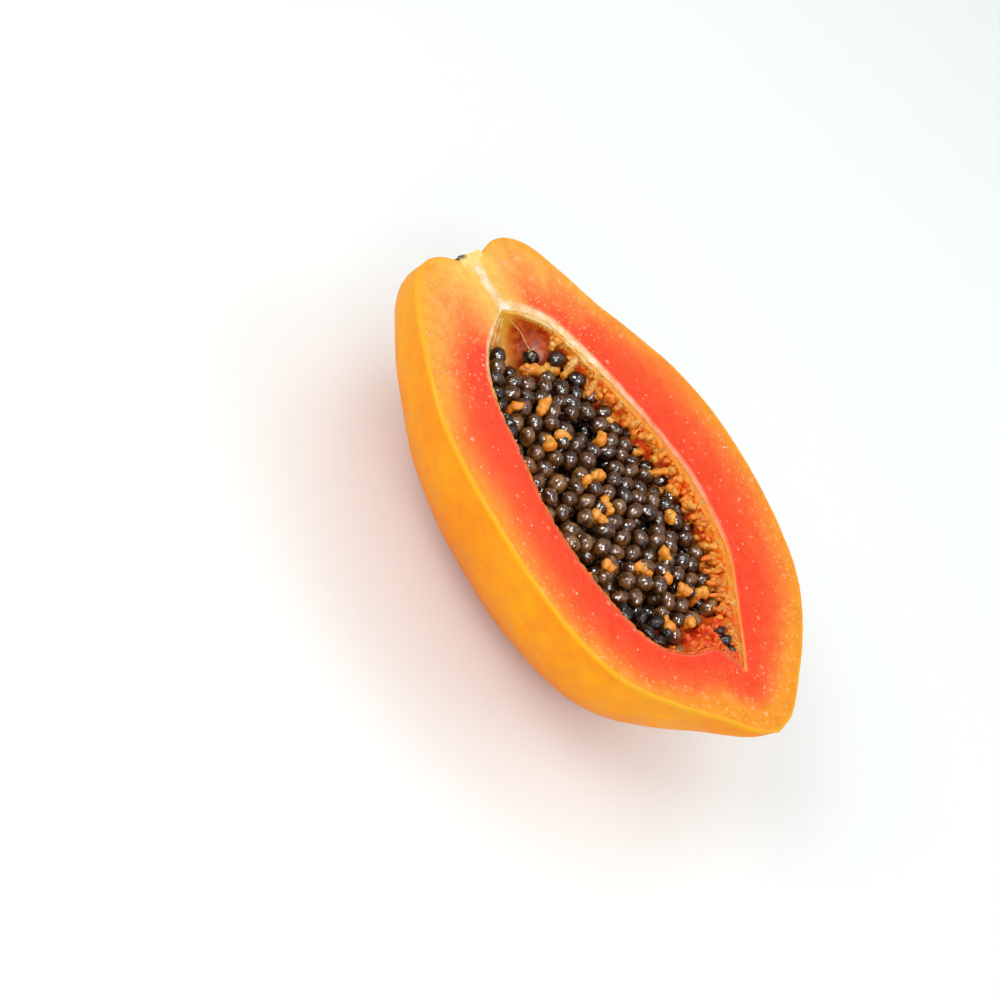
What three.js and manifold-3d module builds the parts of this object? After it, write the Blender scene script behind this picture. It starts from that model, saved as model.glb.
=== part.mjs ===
// Half of a ripe papaya, cut lengthwise and lying on its back with the cut face up and level.
// Millimetres, +Z up, +X from the stalk end to the blossom end. The origin is the middle of the
// footprint, on the surface that the half lies on. While the pieces are made, z = 0 is the cut face.
import * as THREE from 'three';
import { ParametricGeometry } from 'three/addons/geometries/ParametricGeometry.js';
import { mergeVertices } from 'three/addons/utils/BufferGeometryUtils.js';
import Module from 'manifold-3d';

const wasm = await Module();
wasm.setup();

// Driving dimensions: the outline of the cut face, as [x, y] from the stalk dimple to the blossom tip.
const RIND_FAR = [
  [-89, 0], [-91.6, 6.8], [-94.5, 13.5], [-94.2, 20.5], [-90, 27.4], [-77, 34.6], [-61.5, 41],
  [-45.3, 49.6], [-28, 57.2], [-8, 61.2], [14, 60.7], [37.7, 56], [57, 48], [72, 35], [84.2, 19.6],
  [92.8, 6.4], [95, -3.5],
];
const RIND_NEAR = [
  [-89, 0], [-91.4, -6], [-94.4, -12], [-94.6, -19.5], [-89.3, -28], [-77, -36.5], [-60, -45.5],
  [-43, -52.6], [-26, -56.3], [-7, -57.9], [15, -58.4], [38, -55.9], [56, -49.2], [70.5, -35.8],
  [81.2, -22.6], [91.2, -11.2], [95, -3.5],
];
const HALF_DEPTH_RATIO = 1.0;   // depth of the half against half its width
const LOBES = 5;                // a papaya has five faint lobes
const LOBE_HEIGHT = 0.008;      // share of the radius, along the middle of the fruit
const SHOULDER_LOBE = 0.034;    // the same, at the stalk end
const TIP_LOBE = 0.02;          // the same, at the blossom end
const SHOULDER_RISE = 1.0;      // how far the lobes lift the shoulder along x
const FLAT_SPOT = 0.9;          // height of the back that is pressed flat where the half lies

// The rim of the seed hollow, the same way. At the blossom end the flesh of the near side is torn and
// stands in the hollow, so the rim turns in there.
const HOLLOW_FAR = [
  [-70, -1], [-66.5, 6.5], [-60.5, 13.5], [-48.5, 18.9], [-35.7, 23], [-21, 27], [-5, 30], [9, 31],
  [25, 28.5], [37, 25], [47, 18.8], [57, 11.4], [66, 4.8], [72.5, -0.5],
];
const HOLLOW_NEAR = [
  [-70, -1], [-66, -8], [-60, -16.2], [-50, -24.4], [-37, -29.5], [-22, -32.4], [-6, -36], [9, -37.4],
  [26, -36.2], [40, -33.6], [52.4, -28], [59.6, -17.5], [62.4, -6.4], [72.5, -0.5],
];
const HOLLOW_DEPTH_RATIO = 0.86;
const HOLLOW_MIDDLE = { x: 1, y: -3 };
const HOLLOW_REACH = { x: 71, y: 34, z: 29 };  // half length, half width and depth, for offsets

const GAP = 0.4;                // between touching pieces
const LINING = 1.5;             // thickness of the fibrous lining of the hollow

// The stub of the stalk, cut in half with the fruit.
const STUB = { y: 0.8, outer: 6.2, root: 7.6, from: -96, to: -87.2, sides: 15 };

// The bed of seeds: how far its top lies under the cut face, and where it falls away.
const BED = { under: 5.0, farDrop: 2.6, nearDrop: 1.2, stalkDrop: 9, stalkFrom: -38, stalkTo: -60 };
const SEED = { long: 3.9, wide: 3.4, spacing: 7.2, jitter: 0.6, lift: 0.9 };
const BLOSSOM_END = 60;         // no seed is centred past this x
const STALK_END = -57;          // nor before this one

// Pulp that stands up among the seeds, as [x, y], and the fibres of the lining.
const KNOBS = [
  [-45, 9], [-34.5, -7.8], [-22.8, -8.6], [-22.4, -15.7], [-6, -5], [-6.1, -10.5], [4.4, -8.6], [7, -15],
  [27.5, 1.2], [28.4, -11.6], [34.5, -3.8], [40.3, -1], [47, -16.5], [50.5, -7], [56, -10], [57, -3],
];
const KNOB = { stalk: 1.1, head: 2.2, lift: 2.0 };
const FIBRES = { count: 30, root: 1.4, tip: 1.0, shortest: 4, longest: 8.5, deepest: 0.62, sides: 4 };
const APEX_RIBS = 4;
const FINEST = 0.08;            // details smaller than this are merged away
const FIRST_DRAW = 20;          // seed of the random draws

let drawn = FIRST_DRAW;
function draw(low = 0, high = 1) {
  drawn = (drawn * 1664525 + 1013904223) >>> 0;
  return low + (high - low) * (drawn / 4294967296);
}

const smooth = THREE.MathUtils.smoothstep;
const mix = THREE.MathUtils.lerp;

function curveThrough(points) {
  return new THREE.CatmullRomCurve3(points.map(([x, y]) => new THREE.Vector3(x, y, 0)), false, 'centripetal');
}

const rind = { far: curveThrough(RIND_FAR), near: curveThrough(RIND_NEAR) };
const hollow = { far: curveThrough(HOLLOW_FAR), near: curveThrough(HOLLOW_NEAR) };

// A point on the skin. s runs from the stalk to the tip, and angle from the far edge under the back to
// the near one.
function rindPoint(s, angle) {
  const far = rind.far.getPoint(s);
  const near = rind.near.getPoint(s);
  const x = mix(far.x, near.x, (1 - Math.cos(angle)) / 2);
  const half = (far.y - near.y) / 2;
  const lobe = Math.cos(LOBES * angle) - Math.cos(angle);
  const shoulder = Math.exp(-(((x + 92) / 34) ** 2));
  const tip = Math.exp(-(((x - 88) / 24) ** 2));
  const swell = 1 + lobe * (LOBE_HEIGHT + SHOULDER_LOBE * shoulder + TIP_LOBE * tip);
  const rise = SHOULDER_RISE * lobe * Math.exp(-(((x + 94) / 7) ** 2)) * smooth(half, 3, 20);
  return new THREE.Vector3(
    x - rise,
    (far.y + near.y) / 2 + half * swell * Math.cos(angle),
    -half * swell * HALF_DEPTH_RATIO * Math.sin(angle),
  );
}

// A point on the wall of the hollow, or on a smaller copy of it that lies the inset inside the wall.
function hollowPoint(s, angle, inset = 0) {
  const far = hollow.far.getPoint(s);
  const near = hollow.near.getPoint(s);
  const half = (far.y - near.y) / 2;
  const x = mix(far.x, near.x, (1 - Math.cos(angle)) / 2);
  const y = (far.y + near.y) / 2 + half * Math.cos(angle);
  const z = -half * HOLLOW_DEPTH_RATIO * Math.sin(angle);
  return new THREE.Vector3(
    HOLLOW_MIDDLE.x + (x - HOLLOW_MIDDLE.x) * (1 - inset / HOLLOW_REACH.x),
    HOLLOW_MIDDLE.y + (y - HOLLOW_MIDDLE.y) * (1 - inset / HOLLOW_REACH.y),
    z * (1 - inset / HOLLOW_REACH.z),
  );
}

// A closed body whose every cross-section is a U: outside, near lip, inside and far lip.
function trough(outside, inside, steps, alongSteps) {
  const { around, lip, within } = steps;
  const total = around + lip + within + lip;
  return new ParametricGeometry((u, s, target) => {
    const step = Math.round((1 - u) * total) % total;
    if (step <= around) {
      target.copy(outside(s, (Math.PI * step) / around));
    } else if (step <= around + lip) {
      target.lerpVectors(outside(s, Math.PI), inside(s, Math.PI), (step - around) / lip);
    } else if (step <= around + lip + within) {
      target.copy(inside(s, Math.PI * (1 - (step - around - lip) / within)));
    } else {
      target.lerpVectors(inside(s, 0), outside(s, 0), (step - around - lip - within) / lip);
    }
  }, total, alongSteps);
}

// The solid that fills a wall such as hollowPoint up to the cut face.
function filled(wall, aroundSteps, alongSteps) {
  const total = aroundSteps + 2;
  return new ParametricGeometry((u, s, target) => {
    const step = Math.round((1 - u) * total) % total;
    if (step <= aroundSteps) target.copy(wall(s, (Math.PI * step) / aroundSteps));
    else target.lerpVectors(wall(s, Math.PI), wall(s, 0), (step - aroundSteps) / 2);
  }, total, alongSteps);
}

function solidOf(geometry) {
  const bare = geometry.clone();
  for (const name of ['normal', 'uv']) bare.deleteAttribute(name);
  const merged = mergeVertices(bare, 1e-4);
  const index = merged.index.array;
  const corners = [];
  for (let i = 0; i < index.length; i += 3) {
    const [a, b, c] = index.subarray(i, i + 3);
    if (a !== b && b !== c && c !== a) corners.push(a, b, c);
  }
  return new wasm.Manifold(new wasm.Mesh({
    numProp: 3,
    vertProperties: merged.attributes.position.array,
    triVerts: new Uint32Array(corners),
  }));
}

function geometryOf(solid) {
  const mesh = solid.getMesh();
  const geometry = new THREE.BufferGeometry();
  geometry.setAttribute('position', new THREE.BufferAttribute(new Float32Array(mesh.vertProperties), 3));
  geometry.setIndex(new THREE.BufferAttribute(new Uint32Array(mesh.triVerts), 1));
  geometry.computeVertexNormals();
  return geometry;
}

function largestOf(solid) {
  const bodies = solid.decompose();
  return bodies.sort((a, b) => b.volume() - a.volume())[0];
}

// A geometry that is built along +Y, laid from one point towards another.
function laidAlong(geometry, from, to) {
  const direction = to.clone().sub(from).normalize();
  const turn = new THREE.Quaternion().setFromUnitVectors(new THREE.Vector3(0, 1, 0), direction);
  const middle = from.clone().add(to).multiplyScalar(0.5);
  return geometry.applyMatrix4(new THREE.Matrix4().compose(middle, turn, new THREE.Vector3(1, 1, 1)));
}

function rod(from, to, rootRadius, tipRadius, sides = FIBRES.sides) {
  const upright = new THREE.CylinderGeometry(tipRadius, rootRadius, from.distanceTo(to), sides);
  return solidOf(laidAlong(upright, from, to));
}

function blob(centre, radius) {
  return solidOf(new THREE.IcosahedronGeometry(radius, 0).translate(centre.x, centre.y, centre.z));
}

// How far along the hollow its two outlines are at x, as a share.
function shareAt(x) {
  const last = HOLLOW_FAR.length - 1;
  const middles = HOLLOW_FAR.map(([farX], i) => (farX + HOLLOW_NEAR[i][0]) / 2);
  const i = THREE.MathUtils.clamp(middles.findIndex((middle) => middle > x) - 1, 0, last - 1);
  const step = (x - middles[i]) / (middles[i + 1] - middles[i]);
  return THREE.MathUtils.clamp((i + step) / last, 0, 1);
}

// Where y lies between the near rim, at -1, and the far one, at 1.
function acrossAt(s, y) {
  const far = hollow.far.getPoint(s).y;
  const near = hollow.near.getPoint(s).y;
  return THREE.MathUtils.clamp((2 * y - far - near) / Math.max(far - near, 1), -1, 1);
}

// Height of the bed of seeds at x, y.
function bedHeight(x, y) {
  const across = acrossAt(shareAt(x), y);
  return -BED.under
    - BED.farDrop * smooth(across, 0.1, 1)
    - BED.nearDrop * smooth(-across, 0.5, 1)
    - BED.stalkDrop * smooth(-x, -BED.stalkFrom, -BED.stalkTo);
}

// The whole stub, or with a margin the seat that it leaves in the flesh.
function stalkStub(margin = 0) {
  const height = STUB.to - STUB.from + margin;
  const geometry = new THREE.CylinderGeometry(STUB.outer + margin, STUB.root + margin, height, STUB.sides, 2);
  const position = geometry.attributes.position;
  for (let i = 0; i < position.count; i++) {
    const angle = Math.atan2(position.getZ(i), position.getX(i));
    const ridge = 1 + 0.07 * Math.cos(LOBES * angle);
    position.setX(i, position.getX(i) * ridge);
    position.setZ(i, position.getZ(i) * ridge);
  }
  return solidOf(geometry.rotateZ(Math.PI / 2).translate((STUB.from + STUB.to + margin) / 2, STUB.y, 0));
}

function fleshAndRind() {
  const whole = solidOf(trough(rindPoint, hollowPoint, { around: 26, lip: 2, within: 16 }, 42));
  const lowest = whole.boundingBox().min[2];
  return whole.trimByPlane([0, 0, 1], lowest + FLAT_SPOT).subtract(stalkStub(GAP));
}

// The fibres that stand off the lining, and the pulp that stands up among the seeds.
function pulpFibres(margin = 0) {
  drawn = FIRST_DRAW;
  const parts = [];
  const root = GAP + LINING * 0.55;
  for (let i = 0; i < FIBRES.count; i++) {
    const s = mix(0.13, 0.93, (i + draw(0.2, 0.8)) / FIBRES.count);
    const under = draw(0.16, FIBRES.deepest);
    const angle = i % 3 === 2 ? Math.PI - under * 0.6 : under;
    const length = draw(FIBRES.shortest, FIBRES.longest);
    const from = hollowPoint(s, angle, root);
    const inwards = hollowPoint(s + draw(-0.02, 0.02), angle, root + length);
    const to = inwards.setZ(Math.min(inwards.z + draw(-1, 1.5), -KNOB.head - margin));
    from.z = Math.min(from.z, -FIBRES.root - margin - 0.2);
    parts.push(rod(from, to, FIBRES.root + margin, FIBRES.tip + margin));
    if (i % 3 === 0) parts.push(blob(to, draw(1.2, 1.6) + margin));
  }
  for (let i = 0; i < APEX_RIBS; i++) {
    const angle = mix(0.9, 2.5, i / (APEX_RIBS - 1));
    const from = hollowPoint(0.035, angle, root);
    const middle = hollowPoint(0.12, angle, root + 0.6);
    const to = hollowPoint(draw(0.2, 0.26), angle + draw(-0.1, 0.1), root);
    parts.push(rod(from, middle, 0.9 + margin, 1.3 + margin), rod(middle, to, 1.3 + margin, 0.9 + margin));
    parts.push(blob(middle, 1.35 + margin));
  }
  for (const [x, y] of KNOBS) {
    const s = shareAt(x);
    const across = THREE.MathUtils.clamp(acrossAt(s, y), -0.9, 0.9);
    const from = hollowPoint(s, Math.acos(across), root);
    const to = new THREE.Vector3(x, y, Math.min(bedHeight(x, y) + KNOB.lift, -KNOB.head - margin));
    parts.push(rod(from, to, KNOB.stalk + margin, KNOB.stalk + margin));
    parts.push(blob(to, KNOB.head + margin));
    const beside = to.clone().add(new THREE.Vector3(draw(-2.2, 2.2), draw(-2.2, 2.2), -0.5));
    parts.push(blob(beside, KNOB.head * 0.75 + margin));
  }
  return wasm.Manifold.union(parts);
}

function pulp() {
  const wall = (inset) => (s, angle) => hollowPoint(s, angle, inset);
  const lining = solidOf(trough(wall(GAP), wall(GAP + LINING), { around: 14, lip: 1, within: 12 }, 26));
  return largestOf(lining.add(pulpFibres()).trimByPlane([0, 0, -1], 0).simplify(FINEST));
}

// Seeds set on a jittered grid over the bed, each turned its own way.
function seedPlaces() {
  const places = [];
  const rows = Math.ceil(90 / SEED.spacing);
  for (let row = -rows; row <= rows; row++) {
    for (let column = -rows; column <= rows; column++) {
      const x = (column + (row % 2) / 2) * SEED.spacing + draw(-1, 1) * SEED.jitter;
      const y = row * SEED.spacing * 0.866 + draw(-1, 1) * SEED.jitter;
      const lift = draw(-1, 1) * SEED.lift;
      if (x > BLOSSOM_END || x < STALK_END) continue;
      const z = bedHeight(x, y) + lift - 0.4 * SEED.wide;
      if (insideHollow(x, y, z)) places.push(new THREE.Vector3(x, y, Math.min(z, -SEED.long - 0.3)));
    }
  }
  return places;
}

// Whether a seed centred there fits between the walls of the lining.
function insideHollow(x, y, z) {
  const clear = GAP + LINING + SEED.wide * 0.75;
  const s = shareAt(x);
  const far = hollowPoint(s, 0, clear).y;
  const near = hollowPoint(s, Math.PI, clear).y;
  const deep = Math.abs(hollowPoint(s, Math.PI / 2, clear).z);
  const across = (2 * y - far - near) / (far - near);
  return deep > 1 && across ** 2 + (z / deep) ** 2 < 1;
}

function seeds() {
  const inner = solidOf(filled((s, angle) => hollowPoint(s, angle, 2 * GAP + LINING), 12, 24));
  const block = new THREE.BoxGeometry(150, 84, 60, 16, 8, 1).translate(0, -3, -30);
  const corners = block.attributes.position;
  for (let i = 0; i < corners.count; i++) {
    if (corners.getZ(i) > -1) corners.setZ(i, bedHeight(corners.getX(i), corners.getY(i)) - SEED.wide);
  }
  const core = solidOf(block).intersect(inner);
  drawn = FIRST_DRAW + 1;
  const grains = seedPlaces().map((place) => {
    const grain = new THREE.IcosahedronGeometry(1, 0).scale(SEED.wide, SEED.long, SEED.wide);
    const turn = new THREE.Euler(draw(0, Math.PI), draw(0, Math.PI), draw(0, Math.PI));
    return solidOf(grain.applyMatrix4(new THREE.Matrix4().makeRotationFromEuler(turn).setPosition(place)));
  });
  const mound = wasm.Manifold.union([core, ...grains]).intersect(inner).subtract(pulpFibres(GAP));
  return largestOf(mound.simplify(FINEST));
}

function named(name, solid, color, roughness) {
  const material = new THREE.MeshStandardMaterial({ color, roughness, metalness: 0 });
  const mesh = new THREE.Mesh(geometryOf(solid), material);
  mesh.name = name;
  return mesh;
}

const papaya = new THREE.Group();
papaya.add(
  named('flesh_and_rind', fleshAndRind(), 0xff7a2e, 0.4),
  named('pulp', pulp(), 0xffa636, 0.5),
  named('seeds', seeds(), 0x2c241b, 0.3),
  named('stalk_stub', stalkStub().trimByPlane([0, 0, -1], 0), 0xb9a850, 0.7),
);

const footprint = new THREE.Box3().setFromObject(papaya);
const middle = footprint.getCenter(new THREE.Vector3());
papaya.position.set(-middle.x, -middle.y, -footprint.min.z);

export default papaya;
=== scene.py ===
import bisect
import functools
import math
import random

import bmesh
import bpy
import numpy as np
from mathutils import Euler, Matrix, Vector, noise


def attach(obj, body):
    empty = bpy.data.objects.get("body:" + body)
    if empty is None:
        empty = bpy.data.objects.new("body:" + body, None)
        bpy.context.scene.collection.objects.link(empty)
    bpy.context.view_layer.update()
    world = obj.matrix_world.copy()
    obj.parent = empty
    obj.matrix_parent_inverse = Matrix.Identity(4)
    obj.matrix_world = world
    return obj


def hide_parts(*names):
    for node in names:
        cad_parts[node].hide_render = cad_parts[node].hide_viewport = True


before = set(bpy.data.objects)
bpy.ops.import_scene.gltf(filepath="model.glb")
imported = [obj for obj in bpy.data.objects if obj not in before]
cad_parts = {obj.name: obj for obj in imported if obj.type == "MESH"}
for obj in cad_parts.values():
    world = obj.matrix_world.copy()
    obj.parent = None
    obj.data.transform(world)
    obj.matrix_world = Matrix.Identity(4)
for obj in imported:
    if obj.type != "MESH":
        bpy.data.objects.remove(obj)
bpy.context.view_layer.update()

mm = 0.001
cutFace = Vector((0.82, -1.50, 59.05))  # where the outlines' zero lies in the frame, mm
wholeTurn = 6.3  # radians, for random turns
random.seed(7)
noise.seed_set(7)


# small helpers
def mix(a, b, share):
    return a + (b - a) * share


def clamp(value, low=0, high=1):
    return min(max(value, low), high)


def ease(value, low, high):
    share = clamp((value - low) / (high - low))
    return share * share * (3 - 2 * share)


def bell(value, centre, width):
    return math.exp(-(((value - centre) / width) ** 2))


def threeOf(low, high, size=1):
    return [size * random.uniform(low, high) for _ in range(3)]


def randomTurn():
    return Euler(threeOf(0, wholeTurn)).to_matrix()


def colour(red, green, blue):
    # screen values 0-255 to a linear colour
    parts = [v / 255 for v in (red, green, blue)]
    return [v / 12.92 if v <= 0.04045 else ((v + 0.055) / 1.055) ** 2.4 for v in parts] + [1]


# the shape of the half: the same outlines and sections as the solids
halfShape = {
    "rindFar": [(-89, 0), (-91.6, 6.8), (-94.5, 13.5), (-94.2, 20.5), (-90, 27.4), (-77, 34.6),
                (-61.5, 41), (-45.3, 49.6), (-28, 57.2), (-8, 61.2), (14, 60.7), (37.7, 56),
                (57, 48), (72, 35), (84.2, 19.6), (92.8, 6.4), (95, -3.5)],
    "rindNear": [(-89, 0), (-91.4, -6), (-94.4, -12), (-94.6, -19.5), (-89.3, -28), (-77, -36.5),
                 (-60, -45.5), (-43, -52.6), (-26, -56.3), (-7, -57.9), (15, -58.4), (38, -55.9),
                 (56, -49.2), (70.5, -35.8), (81.2, -22.6), (91.2, -11.2), (95, -3.5)],
    "hollowFar": [(-70, -1), (-66.5, 6.5), (-60.5, 13.5), (-48.5, 18.9), (-35.7, 23), (-21, 27),
                  (-5, 30), (9, 31), (25, 28.5), (37, 25), (47, 18.8), (57, 11.4), (66, 4.8),
                  (72.5, -0.5)],
    "hollowNear": [(-70, -1), (-66, -8), (-60, -16.2), (-50, -24.4), (-37, -29.5), (-22, -32.4),
                   (-6, -36), (9, -37.4), (26, -36.2), (40, -33.6), (52.4, -28), (59.6, -17.5),
                   (62.4, -6.4), (72.5, -0.5)],
    "lobes": 5, "lobeHeight": 0.008, "shoulderLobe": 0.034, "tipLobe": 0.02, "shoulderRise": 1.0,
    "shoulder": (-92, 34), "tip": (88, 24), "stalkRim": (-94, 7),  # middle and width along x
    "hollowDepth": 0.86, "hollowMiddle": (1, -3), "hollowReach": (71, 34, 29),
}


@functools.lru_cache(maxsize=None)
def onCurve(name, share):
    # centripetal Catmull-Rom through the outline's points
    points = [Vector(p) for p in halfShape[name]]
    last = len(points) - 1
    place = clamp(share) * last
    i = min(int(place), last - 1)
    w = place - i
    p1, p2 = points[i], points[i + 1]
    p0 = points[i - 1] if i > 0 else p1 * 2 - p2
    p3 = points[i + 2] if i + 2 <= last else p2 * 2 - p1
    d0, d1, d2 = ((a - b).length ** 0.5 for a, b in ((p0, p1), (p1, p2), (p2, p3)))
    t1 = ((p1 - p0) / d0 - (p2 - p0) / (d0 + d1) + (p2 - p1) / d1) * d1
    t2 = ((p2 - p1) / d1 - (p3 - p1) / (d1 + d2) + (p3 - p2) / d2) * d1
    return p1 + t1 * w + (p1 * -3 + p2 * 3 - t1 * 2 - t2) * w ** 2 + (p1 * 2 - p2 * 2 + t1 + t2) * w ** 3


def rindPoint(share, angle):
    far, near = onCurve("rindFar", share), onCurve("rindNear", share)
    x = mix(far.x, near.x, (1 - math.cos(angle)) / 2)
    half = (far.y - near.y) / 2
    lobe = math.cos(halfShape["lobes"] * angle) - math.cos(angle)
    swell = 1 + lobe * (halfShape["lobeHeight"]
                        + halfShape["shoulderLobe"] * bell(x, *halfShape["shoulder"])
                        + halfShape["tipLobe"] * bell(x, *halfShape["tip"]))
    x -= halfShape["shoulderRise"] * lobe * bell(x, *halfShape["stalkRim"]) * ease(half, 3, 20)
    y = (far.y + near.y) / 2 + half * swell * math.cos(angle)
    return Vector((x, y, -half * swell * math.sin(angle)))


def hollowPoint(share, angle, inset=0.0):
    far, near = onCurve("hollowFar", share), onCurve("hollowNear", share)
    half = (far.y - near.y) / 2
    x = mix(far.x, near.x, (1 - math.cos(angle)) / 2)
    y = (far.y + near.y) / 2 + half * math.cos(angle)
    z = -half * halfShape["hollowDepth"] * math.sin(angle)
    middle, reach = halfShape["hollowMiddle"], halfShape["hollowReach"]
    x = middle[0] + (x - middle[0]) * (1 - inset / reach[0])
    y = middle[1] + (y - middle[1]) * (1 - inset / reach[1])
    return Vector((x, y, z * (1 - inset / reach[2])))


def hollowRims(share):
    # y of the far and of the near rim
    return [onCurve(name, round(share, 3)).y for name in ("hollowFar", "hollowNear")]


def acrossHollow(x, y):
    # share along the hollow, and -1 at the near rim to 1 at the far rim
    far, near = halfShape["hollowFar"], halfShape["hollowNear"]
    last = len(far) - 1
    middles = [(a[0] + b[0]) / 2 for a, b in zip(far, near)]
    i = clamp(bisect.bisect_right(middles, x) - 1, 0, last - 1)
    share = clamp((i + (x - middles[i]) / (middles[i + 1] - middles[i])) / last)
    farY, nearY = hollowRims(share)
    return share, clamp((2 * y - farY - nearY) / max(farY - nearY, 1), -1, 1)


# top of the seeds: below the cut by "under", and lower at the sides and the stalk end
bedShape = {"under": 5.0, "farDrop": 2.6, "nearDrop": 1.2, "stalkDrop": 9, "stalkEnd": (38, 60)}


def bedHeight(x, y):
    across = acrossHollow(x, y)[1]
    stalkDrop = bedShape["stalkDrop"] * ease(-x, *bedShape["stalkEnd"])
    return (-bedShape["under"] - bedShape["farDrop"] * ease(across, 0.1, 1)
            - bedShape["nearDrop"] * ease(-across, 0.5, 1)
            - stalkDrop * mix(0.3, 1, ease(across, -0.7, 0.2)))


# shader helpers and shared effects
def addNode(tree, kind, values=None, **settings):
    made = tree.nodes.new(kind)
    for key, value in settings.items():
        setattr(made, key, value)
    for key, value in (values or {}).items():
        if isinstance(value, bpy.types.NodeSocket):
            tree.links.new(value, made.inputs[key])
        else:
            made.inputs[key].default_value = value
    return made


def mixColours(tree, share, first, second, blend="MIX"):
    values = {0: share, 6: first, 7: second}
    return addNode(tree, "ShaderNodeMix", values, data_type="RGBA", blend_type=blend).outputs[2]


def mixValues(tree, share, first, second):
    values = {0: share, 2: first, 3: second}
    return addNode(tree, "ShaderNodeMix", values, data_type="FLOAT").outputs[0]


def maths(tree, operation, *values):
    return addNode(tree, "ShaderNodeMath", dict(enumerate(values)), operation=operation).outputs[0]


def noiseOf(tree, where, scale, detail, distortion=0):
    values = {"Vector": where, "Scale": scale, "Detail": detail, "Distortion": distortion}
    return addNode(tree, "ShaderNodeTexNoise", values).outputs["Fac"]


def axisOf(tree, where, axis):
    return addNode(tree, "ShaderNodeSeparateXYZ", {"Vector": where}).outputs[axis]


def rampOf(tree, share, stops):
    made = addNode(tree, "ShaderNodeValToRGB", {"Fac": share})
    elements = made.color_ramp.elements
    elements[0].position, elements[1].position = stops[0][0], stops[-1][0]
    elements[0].color, elements[1].color = colour(*stops[0][1]), colour(*stops[-1][1])
    for place, shade in stops[1:-1]:
        elements.new(place).color = colour(*shade)
    return made.outputs["Color"]


def spread(tree, value, low, high, first=0.0, last=1.0):
    values = {"Value": value, "From Min": low, "From Max": high, "To Min": first, "To Max": last}
    return addNode(tree, "ShaderNodeMapRange", values, interpolation_type="SMOOTHSTEP").outputs["Result"]


def attributeOf(tree, name):
    return addNode(tree, "ShaderNodeAttribute", attribute_name=name).outputs["Fac"]


def newGroup(name, values, output):
    # a shared effect: a vector and plain values go in, one value comes out
    group = bpy.data.node_groups.new(name, "ShaderNodeTree")
    group.interface.new_socket("Vector", in_out="INPUT", socket_type="NodeSocketVector")
    for label, value in values.items():
        socket = group.interface.new_socket(label, in_out="INPUT", socket_type="NodeSocketFloat")
        socket.default_value = value
    group.interface.new_socket(output, in_out="OUTPUT", socket_type="NodeSocketFloat")
    return group, group.nodes.new("NodeGroupInput").outputs, group.nodes.new("NodeGroupOutput").inputs


def makeCloudGroup():
    # slow cloudy change of tone, broken by a finer one
    group, given, out = newGroup("cloudyTone", {"Scale": 60}, "Mask")
    fineScale = maths(group, "MULTIPLY", given["Scale"], 5.3)
    slow = noiseOf(group, given["Vector"], given["Scale"], 2)
    fine = noiseOf(group, given["Vector"], fineScale, 3)
    both = mixValues(group, 0.32, slow, fine)
    group.links.new(spread(group, both, 0.34, 0.66), out["Mask"])
    return group


def makeSpeckGroup():
    # small round specks in a random scatter: 1 in a speck, 0 between them
    group, given, out = newGroup("fineSpecks", {"Scale": 400, "Size": 0.2, "Share": 0.5}, "Mask")
    cells = addNode(group, "ShaderNodeTexVoronoi", {"Vector": given["Vector"], "Scale": given["Scale"]})
    dot = maths(group, "DIVIDE", cells.outputs["Distance"], given["Size"])
    dot = spread(group, dot, 0.5, 1.1, 1.0, 0.0)
    pick = addNode(group, "ShaderNodeSeparateColor", {"Color": cells.outputs["Color"]}).outputs["Red"]
    kept = maths(group, "LESS_THAN", pick, given["Share"])
    group.links.new(maths(group, "MULTIPLY", dot, kept), out["Mask"])
    return group


def makeGrainGroup():
    # moist uneven surface: fine grain over soft dimples, as a height
    group, given, out = newGroup("moistGrain", {"Scale": 900}, "Height")
    slowScale = maths(group, "MULTIPLY", given["Scale"], 0.3)
    fine = noiseOf(group, given["Vector"], given["Scale"], 4)
    dimple = addNode(group, "ShaderNodeTexVoronoi", {"Vector": given["Vector"], "Scale": slowScale},
                     feature="SMOOTH_F1").outputs["Distance"]
    group.links.new(mixValues(group, 0.45, fine, dimple), out["Height"])
    return group


cloudyTone = makeCloudGroup()
fineSpecks = makeSpeckGroup()
moistGrain = makeGrainGroup()


def cloudy(tree, where, scale):
    values = {"Vector": where, "Scale": scale}
    return addNode(tree, "ShaderNodeGroup", values, node_tree=cloudyTone).outputs["Mask"]


def specked(tree, where, scale, size, share):
    values = {"Vector": where, "Scale": scale, "Size": size, "Share": share}
    return addNode(tree, "ShaderNodeGroup", values, node_tree=fineSpecks).outputs["Mask"]


def grainy(tree, where, scale):
    values = {"Vector": where, "Scale": scale}
    return addNode(tree, "ShaderNodeGroup", values, node_tree=moistGrain).outputs["Height"]


def newMaterial(name, finish):
    # finish: plain values for the Principled shader's own sockets
    material = bpy.data.materials.new(name)
    material.use_nodes = True
    tree = material.node_tree
    shader = tree.nodes["Principled BSDF"]
    for key, value in finish.items():
        shader.inputs[key].default_value = value
    where = addNode(tree, "ShaderNodeTexCoord").outputs["Object"]
    return material, tree, shader, where


def dressed(tree, shader, body, roughness):
    tree.links.new(body, shader.inputs["Base Color"])
    tree.links.new(roughness, shader.inputs["Roughness"])


def bumped(tree, shader, height, strength, distance, socket="Normal"):
    values = {"Height": height, "Strength": strength, "Distance": distance}
    bump = addNode(tree, "ShaderNodeBump", values)
    tree.links.new(bump.outputs["Normal"], shader.inputs[socket])


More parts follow.
